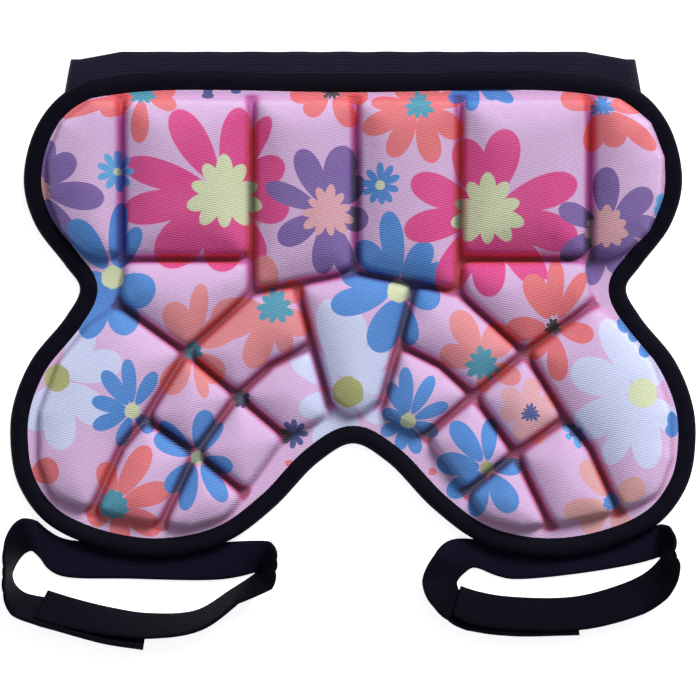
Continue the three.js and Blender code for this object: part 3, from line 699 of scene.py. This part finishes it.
def makePrintMaterial():
    material, tree, shader = newMaterial("printed_cloth", cover["pink"])
    place = addNode(tree, "ShaderNodeTexCoord").outputs["Object"]
    grooveShade = readAttribute(tree, "grooveShade", "Fac")
    slant = addNode(tree, "ShaderNodeMapping", {"Vector": place, "Rotation": (0, 0, cover["ribSlant"])}).outputs[0]
    look = {"Vector": slant, "Pitch": cover["ribPitch"], "Waver": cover["ribWaver"]}
    ribs = addNode(tree, "ShaderNodeGroup", look, node_tree=ribGroup)
    base = cover["pink"]
    for name in ("petalNext", "petalNear"):
        spot = addNode(tree, "ShaderNodeUVMap", uv_map=name).outputs[0]
        mask = ramp(tree, lengthOf(tree, spot), 1.03, 0.97)
        base = mixColour(tree, mask, base, readAttribute(tree, name + "Colour", "Color"))

    # Painted shade: in the grooves the colour is made darker and more saturated, darker still in the creases, and
    # nearer to crimson low on the panel
    shadedPrint = addNode(tree, "ShaderNodeGamma", {0: base, 1: cover["shadeGamma"]}).outputs[0]
    shadedPrint = tinted(tree, shadedPrint, cover["shadeTone"])
    low = ramp(tree, addNode(tree, "ShaderNodeSeparateXYZ", {0: place}).outputs[1], *cover["lowerPart"])
    shadedPrint = mixColour(tree, low, shadedPrint, tinted(tree, shadedPrint, cover["lowShadeTone"]))
    dark = mixColour(tree, low, cover["upperCreaseShade"], cover["lowerCreaseShade"])
    creaseShade = tinted(tree, shadedPrint, dark)
    base = mixColour(tree, ramp(tree, grooveShade, *cover["shadeRun"]), base, shadedPrint)
    base = mixColour(tree, ramp(tree, grooveShade, *cover["creaseShadeRun"]), base, creaseShade)

    # An eye is a disc whose rim is drawn in between its rays, and a little uneven
    eye = addNode(tree, "ShaderNodeUVMap", uv_map="eyePlace").outputs[0]
    spot = addNode(tree, "ShaderNodeSeparateXYZ", {0: eye})
    shape = addNode(tree, "ShaderNodeSeparateColor", {0: readAttribute(tree, "eyeRays", "Color")})
    turn = math1(tree, "ARCTAN2", spot.outputs[1], spot.outputs[0])
    rays = math1(tree, "ROUND", math1(tree, "MULTIPLY", shape.outputs[0], float(printSheet["rayScale"])))
    phase = math1(tree, "MULTIPLY", turn, math1(tree, "MULTIPLY", rays, 0.5))
    wave = math1(tree, "SUBTRACT", 1.0, math1(tree, "ABSOLUTE", math1(tree, "SINE", phase)))
    uneven = math1(tree, "MULTIPLY_ADD", math1(tree, "SINE", math1(tree, "MULTIPLY", turn, 3.0)), 0.3, 0.15)
    wave = math1(tree, "ADD", wave, uneven)
    rim = math1(tree, "SUBTRACT", 1.0, math1(tree, "MULTIPLY", wave, shape.outputs[1]))
    mask = ramp(tree, math1(tree, "SUBTRACT", lengthOf(tree, eye), rim), 0.03, -0.03)
    tone = readAttribute(tree, "eyeColour", "Color")
    # The eye's colour is darkened in the grooves: painted shade
    dim = tinted(tree, tone, cover["eyeShade"])
    tone = mixColour(tree, ramp(tree, grooveShade, *cover["eyeShadeRun"]), tone, dim)
    base = mixColour(tree, mask, base, tone)

    # Lighter towards white on the rib crests, painted sheen, and in random patches
    crestMask = ramp(tree, ribs.outputs["Tint"], 0.1, 0.9, 0.0, 0.12)
    base = mixColour(tree, crestMask, base, cover["ribSheen"])
    rough = ramp(tree, ribs.outputs["Tint"], 0.0, 1.0, 0.74, 0.6)
    finishShader(tree, shader, base, rough, ribs.outputs["Height"], cover["relief"], ribDepth)
    shader.inputs["Sheen Weight"].default_value = 0.03
    shader.inputs["Sheen Roughness"].default_value = 0.35
    shader.inputs["Specular IOR Level"].default_value = 0.25
    return material


# Black lining behind the foam
lining = {
    "pitch": 0.003, "inset": 0.0022, "merge": 0.0003, "rimLow": 0.0016, "rimHigh": 0.0035, "rimRun": 0.011,
    "colour": colour(20, 20, 27), "shade": colour(11, 11, 16), "patches": colour(40, 40, 52), "cells": 420.0,
    "relief": 0.5, "depth": 0.0005,
}


def makeLining(material):
    bm = panelGrid(lining["pitch"])[0]
    line, rim = cutToOutline(bm, lining["inset"])
    for vert in rim:
        here = np.array(vert.co[:2])
        vert.co.xy = line[np.argmin(np.sum((line - here) ** 2, axis=1))]
    bmesh.ops.remove_doubles(bm, verts=bm.verts, dist=lining["merge"])
    lower = bmesh.ops.duplicate(bm, geom=list(bm.faces) + list(bm.verts) + list(bm.edges))["geom"]
    bottom = {g for g in lower if isinstance(g, bmesh.types.BMVert)}
    bmesh.ops.reverse_faces(bm, faces=[g for g in lower if isinstance(g, bmesh.types.BMFace)])
    places = np.array([v.co[:2] for v in bm.verts])
    gap = edgeDistance(places)
    blend = np.clip((gap - lining["inset"]) / lining["rimRun"], 0, 1)
    blend = blend * blend * (3 - 2 * blend)
    lift = backHeight(places[:, 1])
    for vert, share, up in zip(bm.verts, blend, lift):
        if vert in bottom:
            vert.co.z = lining["rimLow"] * (1 - share) + up
        else:
            vert.co.z = lining["rimHigh"] + (panel["backing"] - lining["rimHigh"]) * share + up
    bmesh.ops.bridge_loops(bm, edges=[e for e in bm.edges if e.is_boundary])
    bmesh.ops.recalc_face_normals(bm, faces=bm.faces)
    return meshOf("back_lining", bm, [material])


def makeLiningMaterial():
    material, tree, shader = newMaterial("black_lining", lining["colour"])
    place = addNode(tree, "ShaderNodeTexCoord").outputs["Object"]
    look = {"Vector": place, "Scale": lining["cells"], "Randomness": 0.35}
    cells = addNode(tree, "ShaderNodeTexVoronoi", look, feature="DISTANCE_TO_EDGE")
    hole = ramp(tree, cells.outputs["Distance"], 0.08, 0.3)
    patch = noise(tree, place, 40.0)
    base = mixColour(tree, hole, lining["colour"], lining["shade"])
    base = mixColour(tree, math1(tree, "MULTIPLY", patch, 0.2), base, lining["patches"])
    rough = ramp(tree, patch, 0.3, 0.7, 0.82, 0.92)
    height = math1(tree, "SUBTRACT", 1.0, hole)
    finishShader(tree, shader, base, rough, height, lining["relief"], lining["depth"])
    return material


# Binding folded over the panel's edge. Its section holds insets and heights of the tape's middle,
# and each ripple its number of waves round the edge, its share and its start.
binding = {
    "section": [
        (0.0093, 0.00425), (0.0088, 0.0046), (0.0078, 0.0048), (0.0060, 0.0050), (0.0040, 0.0050), (0.0024, 0.0047),
        (0.0013, 0.0042), (0.0007, 0.0034), (0.00055, 0.0025), (0.0008, 0.0016), (0.0015, 0.0009), (0.0030, 0.0006),
        (0.0060, 0.0006), (0.0093, 0.0006),
    ],
    "thickness": 0.0011, "flatWidth": 0.0225, "steps": (480, 26), "join": (0.013, 0.021), "joinAcross": 0.6,
    "lap": 0.0006, "puffAcross": 0.45, "rippleHeight": 0.00008, "ripples": [(47, 1, 0), (71, 0.7, 1.3)],
    "tape": {
        "colour": colour(12, 9, 24), "shade": colour(3, 3, 9), "pitch": 0.0009, "waver": 1.5,
        "stitchRows": [0.0014], "stitchLength": 0.0016, "thread": 0.00022, "threadColour": colour(34, 34, 48),
        "roughness": 0.6, "relief": 0.4, "specular": 0.06,
    },
}


def onBinding(u, v):
    spot = (u % 1.0) * len(edgeLine)
    first = int(spot) % len(edgeLine)
    share = spot - int(spot)
    after = (first + 1) % len(edgeLine)
    point = between(edgeLine[first], edgeLine[after], share)
    inward = between(edgeInward[first], edgeInward[after], share)
    inward = inward / np.linalg.norm(inward)
    rows = binding["section"]
    row = v * (len(rows) - 1)
    low = min(int(row), len(rows) - 2)
    part = row - low
    inset, z = (between(rows[low][k], rows[low + 1][k], part) for k in (0, 1))
    puff = math.sin(math.pi * min(v / binding["puffAcross"], 1.0))
    ripple = sum(share * math.sin(2 * math.pi * waves * u + begin) for waves, share, begin in binding["ripples"])
    start, end = binding["join"]
    lap = binding["lap"] if start < (u % 1.0) * edgeLength < end and v < binding["joinAcross"] else 0.0
    x, y = point + inward * inset
    return (x, y, z + lap + binding["rippleHeight"] * puff * ripple + float(backHeight(y)))


def makeBinding(material):
    flat = (binding["flatWidth"], edgeLength)
    return ribbon("edge_tape", binding["steps"], onBinding, flat, binding["thickness"], material, closed=True)


# Elastic waistband, a loop pressed nearly flat
waistband = {
    "width": 0.030, "thickness": 0.0016, "loop": 0.313, "slant": 0.0055, "drop": 0.004, "dropStart": 0.85,
    "turnShare": 0.02, "steps": (400, 12), "waveHeight": 0.00015, "waves": 38, "waveLean": 3,
    "tape": {
        "colour": colour(33, 31, 53), "shade": colour(10, 9, 20), "pitch": 0.0012, "waver": 0.35,
        "stitchRows": [0.0165], "stitchLength": 0.0022, "thread": 0.0003, "threadColour": colour(48, 48, 66),
        "roughness": 0.72, "relief": 0.6, "specular": 0.14,
    },
}


# Along the front layer, round the end, back along the lower layer and round the other end
def onWaistband(u, v):
    half = waistband["loop"] / 2 - waistband["slant"] * v
    top = panel["waistTop"] - waistband["width"] * (1 - v)
    thick = waistband["thickness"]
    turnShare = waistband["turnShare"]
    u = u % 1.0
    quarter = 0.5 - turnShare
    if u < quarter:
        along, turn = -1 + 2 * u / quarter, 90.0
    elif u < 0.5:
        along, turn = 1.0, 90 - 180 * (u - quarter) / turnShare
    elif u < 0.5 + quarter:
        along, turn = 1 - 2 * (u - 0.5) / quarter, -90.0
    else:
        along, turn = -1.0, -90 - 180 * (u - 0.5 - quarter) / turnShare
    sunk = max(0.0, (abs(along) - waistband["dropStart"]) / (1 - waistband["dropStart"])) * waistband["drop"]
    y = top - sunk
    front = float(backHeight(y)) - panel["clearance"] - thick / 2
    back = thick / 2
    bend = (front - back) / 2
    normal = (math.cos(math.radians(turn)), math.sin(math.radians(turn)))
    x = along * (half - bend - thick / 2) + normal[0] * bend
    phase = along * waistband["waves"] + waistband["waveLean"] * v
    wave = waistband["waveHeight"] * math.sin(phase) * (1 - abs(along))
    return (x, y + wave, (front + back) / 2 + normal[1] * bend)


def makeWaistband(material):
    flat = (waistband["width"], 2 * waistband["loop"])
    return ribbon("waist_elastic", waistband["steps"], onWaistband, flat, waistband["thickness"], material, closed=True)


# Leg straps. A row holds the lower edge's x and y in shares of the loop, the way that the face runs
# from it, its lean and the thicknesses under it.
strap = {
    "width": 0.020, "thickness": 0.0016, "loopWidth": 0.147, "loopDepth": 0.069, "offset": 0.1095, "steps": 8,
    "stepsAcross": 10, "darkFrom": 8, "darkRun": 22,
    "tape": {
        "colour": colour(21, 20, 40), "shade": colour(3, 3, 9), "pitch": 0.0011, "waver": 0.3,
        "stitchRows": [], "roughness": 0.72, "relief": 0.6, "specular": 0.05,
    },
    "left": [
        (-0.37, -0.122, -115, 40, 0), (-0.274, -0.186, -107, 42, 0), (-0.135, -0.26, -101, 48, 0),
        (-0.001, -0.304, -96, 54, 0), (0.176, -0.282, -71, 63, 0), (0.304, -0.12, -51, 70, 0),
        (0.396, 0.013, -40, 57, 0), (0.407, 0.04, 5, 65, 0), (0.399, 0.041, 35, 51, 0),
        (0.381, 0.029, 62, 16, 0), (0.327, -0.005, 76, 3, 0), (0.238, -0.03, 90, 0, 0),
        (-0.068, -0.021, 90, 0, 0), (-0.316, -0.001, 84, 0, 0), (-0.367, 0.057, 87, 0, 0),
        (-0.395, 0.135, 94, 0, 0), (-0.426, 0.204, 108, 27, 0), (-0.453, 0.189, 119, 45, 0),
        (-0.476, 0.144, 135, 64, 0), (-0.496, 0.075, 155, 79, 0), (-0.506, 0.007, 182, 84, 0),
        (-0.494, -0.074, 222, 76, 0), (-0.456, -0.142, 243, 55, 0), (-0.36, -0.189, 253, 46, 0),
        (-0.143, -0.319, 259, 47, 0), (-0.006, -0.375, 264, 50, 0),
    ],
    "right": [
        (-0.355, -0.089, -108, 44, 0.5), (-0.296, -0.127, -102, 36, 0.5), (-0.187, -0.167, -95, 34, 0.5),
        (0.065, -0.168, -84, 33, 0.5), (0.26, -0.049, -65, 24, 0), (0.331, 0.029, -55, 34, 0),
        (0.379, 0.119, -34, 59, 0), (0.389, 0.147, 5, 74, 0), (0.383, 0.158, 38, 71, 0),
        (0.37, 0.158, 68, 38, 0), (0.338, 0.125, 73, 2, 0), (0.138, 0.038, 84, 0, 0),
        (-0.161, -0.024, 88, 0, 0), (-0.22, 0.001, 105, 0, 0), (-0.306, 0.066, 134, 4, 0),
        (-0.34, 0.03, 150, 20, 0), (-0.368, -0.04, 178, 22, 0), (-0.368, -0.092, 218, 38, 0),
        (-0.354, -0.136, 244, 40, 0), (-0.311, -0.161, 260, 27, 0), (-0.187, -0.214, 265, 34, 0),
        (0.065, -0.209, 276, 33, 0),
    ],
}


# Length along the middle of the strap
def strapLength(rows):
    points = np.array([(x * strap["loopWidth"], y * strap["loopDepth"]) for x, y, *_ in rows])
    heading = np.radians([r[2] for r in rows])
    lean = np.radians([r[3] for r in rows])
    middle = points + 0.5 * strap["width"] * (np.cos(lean) * np.array([np.cos(heading), np.sin(heading)])).T
    return float(np.sum(np.linalg.norm(np.diff(middle, axis=0), axis=1)))


def makeStrap(name, rows, side, material):
    route, _ = smoothCurve([(x * strap["loopWidth"], y * strap["loopDepth"]) for x, y, *_ in rows], strap["steps"])
    spans = len(rows) - 1

    def place(u, v):
        step = min(round(u * spans * strap["steps"]), spans * strap["steps"])
        row = min(step // strap["steps"], spans - 1)
        part = step / strap["steps"] - row
        heading, lean, stack = (between(rows[row][k], rows[row + 1][k], part) for k in (2, 3, 4))
        heading, lean = math.radians(heading), math.radians(lean)
        x, y = route[step]
        z = stack * (strap["thickness"] + panel["clearance"]) / math.cos(lean)
        reach = v * strap["width"]
        thick = strap["thickness"] / 2
        out = (math.cos(heading), math.sin(heading))
        across = (out[0] * math.cos(lean), out[1] * math.cos(lean), math.sin(lean))
        through = (-out[0] * math.sin(lean), -out[1] * math.sin(lean), math.cos(lean))
        return (
            x + side * strap["offset"] + across[0] * reach + through[0] * thick,
            y + panel["strapLine"] + across[1] * reach + through[1] * thick,
            z + across[2] * reach + through[2] * thick,
        )

    # The inner side of the webbing shows, and is darker, where the strap leans
    def dark(u):
        spot = u * spans
        row = min(int(spot), spans - 1)
        lean = rows[row][3] * (row + 1 - spot) + rows[row + 1][3] * (spot - row)
        return min(max((lean - strap["darkFrom"]) / strap["darkRun"], 0), 1)

    flat = (strap["width"], strapLength(rows))
    steps = (spans * strap["steps"], strap["stepsAcross"])
    return ribbon(name, steps, place, flat, strap["thickness"], material, dark=dark), flat


# Camera, floor and light
stage = {
    "middle": (-0.0016, -0.01839, 0.012), "viewWidth": 0.3731, "lens": 200, "sensor": 36, "seesTo": 50,
    "floorSize": 24, "floorGap": 0.0002, "floor": colour(251, 251, 252), "floorGlow": 0.8,
    "sunFrom": (0.42, 0.75, 0.78), "sunPower": 3.45, "sunSpread": 24, "sky": 0.3, "skyColour": (0.93, 0.94, 1, 1),
}


def makeStage():
    cameraData = bpy.data.cameras.new("camera")
    cameraData.lens = stage["lens"]
    cameraData.sensor_width = stage["sensor"]
    cameraData.clip_end = stage["seesTo"]
    camera = addObject("camera", cameraData)
    x, y, z = stage["middle"]
    camera.location = (x, y, z + stage["viewWidth"] * stage["lens"] / stage["sensor"])
    bpy.context.scene.camera = camera

    sunData = bpy.data.lights.new("sun", "SUN")
    sunData.energy = stage["sunPower"]
    sunData.angle = math.radians(stage["sunSpread"])
    sun = addObject("sun", sunData)
    sun.rotation_euler = Vector(stage["sunFrom"]).to_track_quat("Z", "Y").to_euler()

    world = bpy.data.worlds.new("world")
    bpy.context.scene.world = world
    world.use_nodes = True
    background = world.node_tree.nodes["Background"]
    background.inputs[0].default_value = stage["skyColour"]
    background.inputs[1].default_value = stage["sky"]

    bm = bmesh.new()
    bmesh.ops.create_grid(bm, x_segments=1, y_segments=1, size=stage["floorSize"] / 2)
    bmesh.ops.translate(bm, vec=(0, 0, cadBox[0][2] - stage["floorGap"]), verts=bm.verts)
    material, _, shader = newMaterial("floor", stage["floor"])
    shader.inputs["Base Color"].default_value = stage["floor"]
    shader.inputs["Roughness"].default_value = 0.9
    shader.inputs["Emission Color"].default_value = stage["floor"]
    shader.inputs["Emission Strength"].default_value = stage["floorGlow"]
    floor = meshOf("floor", bm, [material], smooth=False)
    bpy.context.scene.view_settings.view_transform = "Standard"


makeStage()
print("stage made")

coverPiece = makeCover(makePrintMaterial())
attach(coverPiece, "root")
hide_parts(*[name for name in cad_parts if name.startswith("block_")])
print("printed cover made")

liningPiece = makeLining(makeLiningMaterial())
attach(liningPiece, "root")
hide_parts("panel_backing")
print("lining made")

bindingPiece = makeBinding(makeTapeMaterial("binding_tape", binding["tape"]))
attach(bindingPiece, "root")
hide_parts("edge_binding")
print("binding made")

waistPiece = makeWaistband(makeTapeMaterial("waist_elastic_cloth", waistband["tape"]))
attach(waistPiece, "root")
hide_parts("waistband")
print("waistband made")

strapMaterial = makeTapeMaterial("strap_webbing", strap["tape"])
for name, rows, side in (("left", strap["left"], -1), ("right", strap["right"], 1)):
    piece, flat = makeStrap("strap_" + name, rows, side, strapMaterial)
    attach(piece, "root")
    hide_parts("leg_strap_" + name)
print("straps made")
